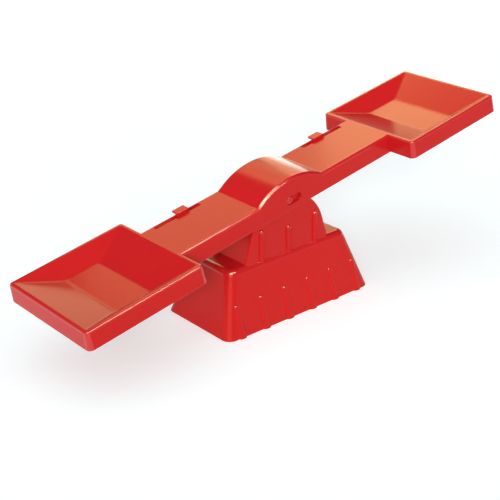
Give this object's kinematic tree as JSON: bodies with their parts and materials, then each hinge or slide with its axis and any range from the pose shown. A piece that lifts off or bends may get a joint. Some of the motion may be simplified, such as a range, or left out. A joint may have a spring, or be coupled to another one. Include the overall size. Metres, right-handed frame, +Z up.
{
  "type": "toy balance scale",
  "caption": "Toy balance scale: a moulded beam with a shallow square tray at each end rocks on a ribbed hollow stand between stops, with a trim slider in each arm.",
  "frame": {"origin": "on the floor under the middle of the whole scale as it rests with its left tray down", "axes": "+X along the beam towards the raised tray, +Y across it towards the edge with the sliders, +Z up"},
  "size_m": [0.3966, 0.0988, 0.1311],
  "materials": {
    "red_plastic": "glossy moulded red"
  },
  "bodies": {
    "stand": {"base_stand": "red_plastic", "stop_pin": "red_plastic"},
    "beam": {"balance_beam": "red_plastic"},
    "left_trim": {"slider_left": "red_plastic"},
    "right_trim": {"slider_right": "red_plastic"}
  },
  "joints": [
    {"name": "beam_tilt", "type": "hinge", "parent": "stand", "child": "beam", "pos_m": [-0.00276, 0, 0.1], "axis": [0, 1, 0], "range_deg": [0, 20.9]},
    {"name": "left_slider_travel", "type": "slide", "parent": "beam", "child": "left_trim", "axis": [0.9834, 0, 0.1814], "range_m": [-0.0202, 0.0102]},
    {"name": "right_slider_travel", "type": "slide", "parent": "beam", "child": "right_trim", "axis": [0.9834, 0, 0.1814], "range_m": [-0.0112, 0.0192]}
  ]
}
